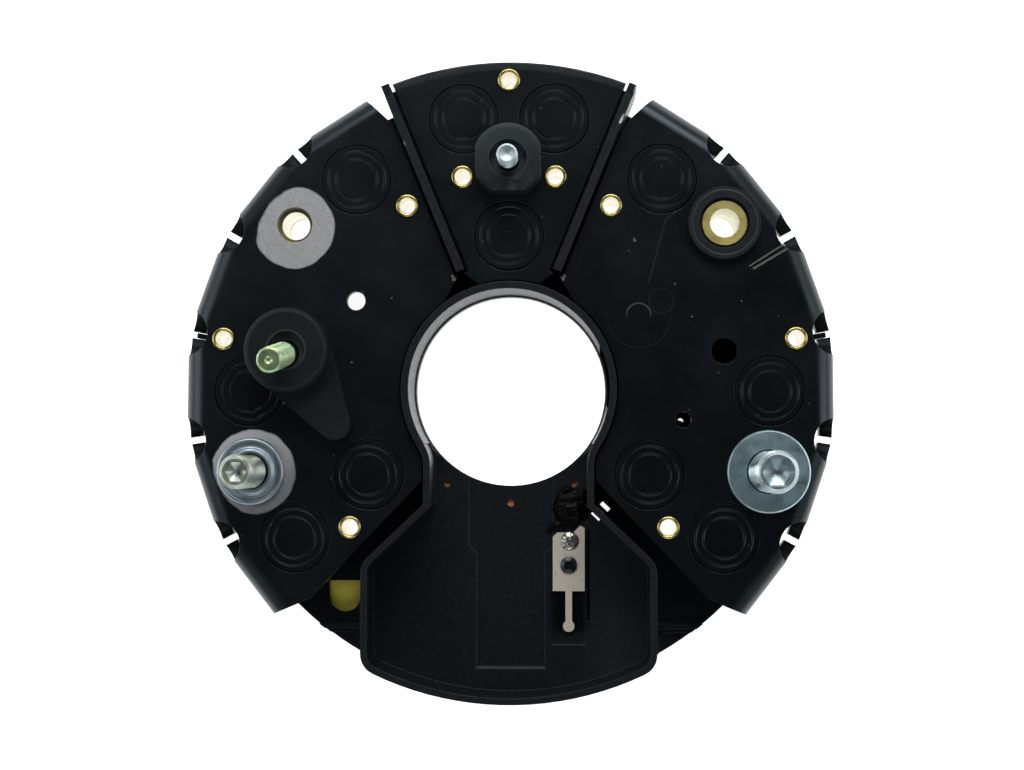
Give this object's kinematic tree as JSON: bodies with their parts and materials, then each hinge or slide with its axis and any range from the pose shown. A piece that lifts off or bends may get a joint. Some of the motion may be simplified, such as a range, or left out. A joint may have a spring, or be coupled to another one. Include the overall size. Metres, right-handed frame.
{
  "type": "rectifier plate",
  "caption": "Round alternator rectifier plate: bent heat sinks with press-fit diodes on a moulded carrier that has a shaft bore, an open bay and terminal studs.",
  "frame": {"origin": "on the axis of the shaft bore, in the plane of the carrier's back face", "axes": "+Z along the shaft axis towards the terminals, +Y towards the wedge-shaped exciter heat sink, +X towards the positive heat sink"},
  "size_m": [0.1532, 0.151, 0.0473],
  "materials": {
    "carrier_plastic": "satin moulded, glass filled",
    "sink_paint": "semi-gloss black paint",
    "diode_paint": "semi-gloss black paint",
    "rivet_brass": "dull",
    "yellow_zinc": "yellowish zinc plate",
    "green_zinc": "greenish yellow chromate",
    "stud_zinc": "bright zinc plate",
    "washer_zinc": "bluish zinc plate",
    "insulator_plastic": "matt dark grey",
    "ring_plastic": "satin black",
    "bush_brass": "turned",
    "contact_tin": "dull tin plate",
    "contact_black": "semi-gloss",
    "resin": "glossy",
    "bar_brass": "dull",
    "bar_copper": "dull copper"
  },
  "bodies": {
    "root": {"carrier": "carrier_plastic", "negative_heat_sink": "sink_paint", "positive_heat_sink": "sink_paint", "exciter_heat_sink": "sink_paint", "negative_diode_1": "diode_paint", "negative_diode_2": "diode_paint", "negative_diode_3": "diode_paint", "negative_diode_4": "diode_paint", "positive_diode_1": "diode_paint", "positive_diode_2": "diode_paint", "positive_diode_3": "diode_paint", "positive_diode_4": "diode_paint", "exciter_diode_1": "diode_paint", "exciter_diode_2": "diode_paint", "exciter_diode_3": "diode_paint", "tubular_rivets": "rivet_brass", "b_minus_stud": "yellow_zinc", "b_minus_washer": "washer_zinc", "b_plus_stud": "stud_zinc", "b_plus_washer": "washer_zinc", "d_plus_stud": "stud_zinc", "d_plus_insulator": "insulator_plastic", "w_stud": "green_zinc", "w_insulator": "insulator_plastic", "negative_bush": "bush_brass", "positive_bush": "bush_brass", "bush_insulator": "ring_plastic", "contact_strip": "contact_tin", "contact_rivet": "contact_black", "sealing_resin": "resin", "phase_bar_u": "bar_brass", "phase_bar_v": "bar_brass", "phase_bar_w": "bar_brass", "star_bar": "bar_copper"}
  },
  "joints": []
}
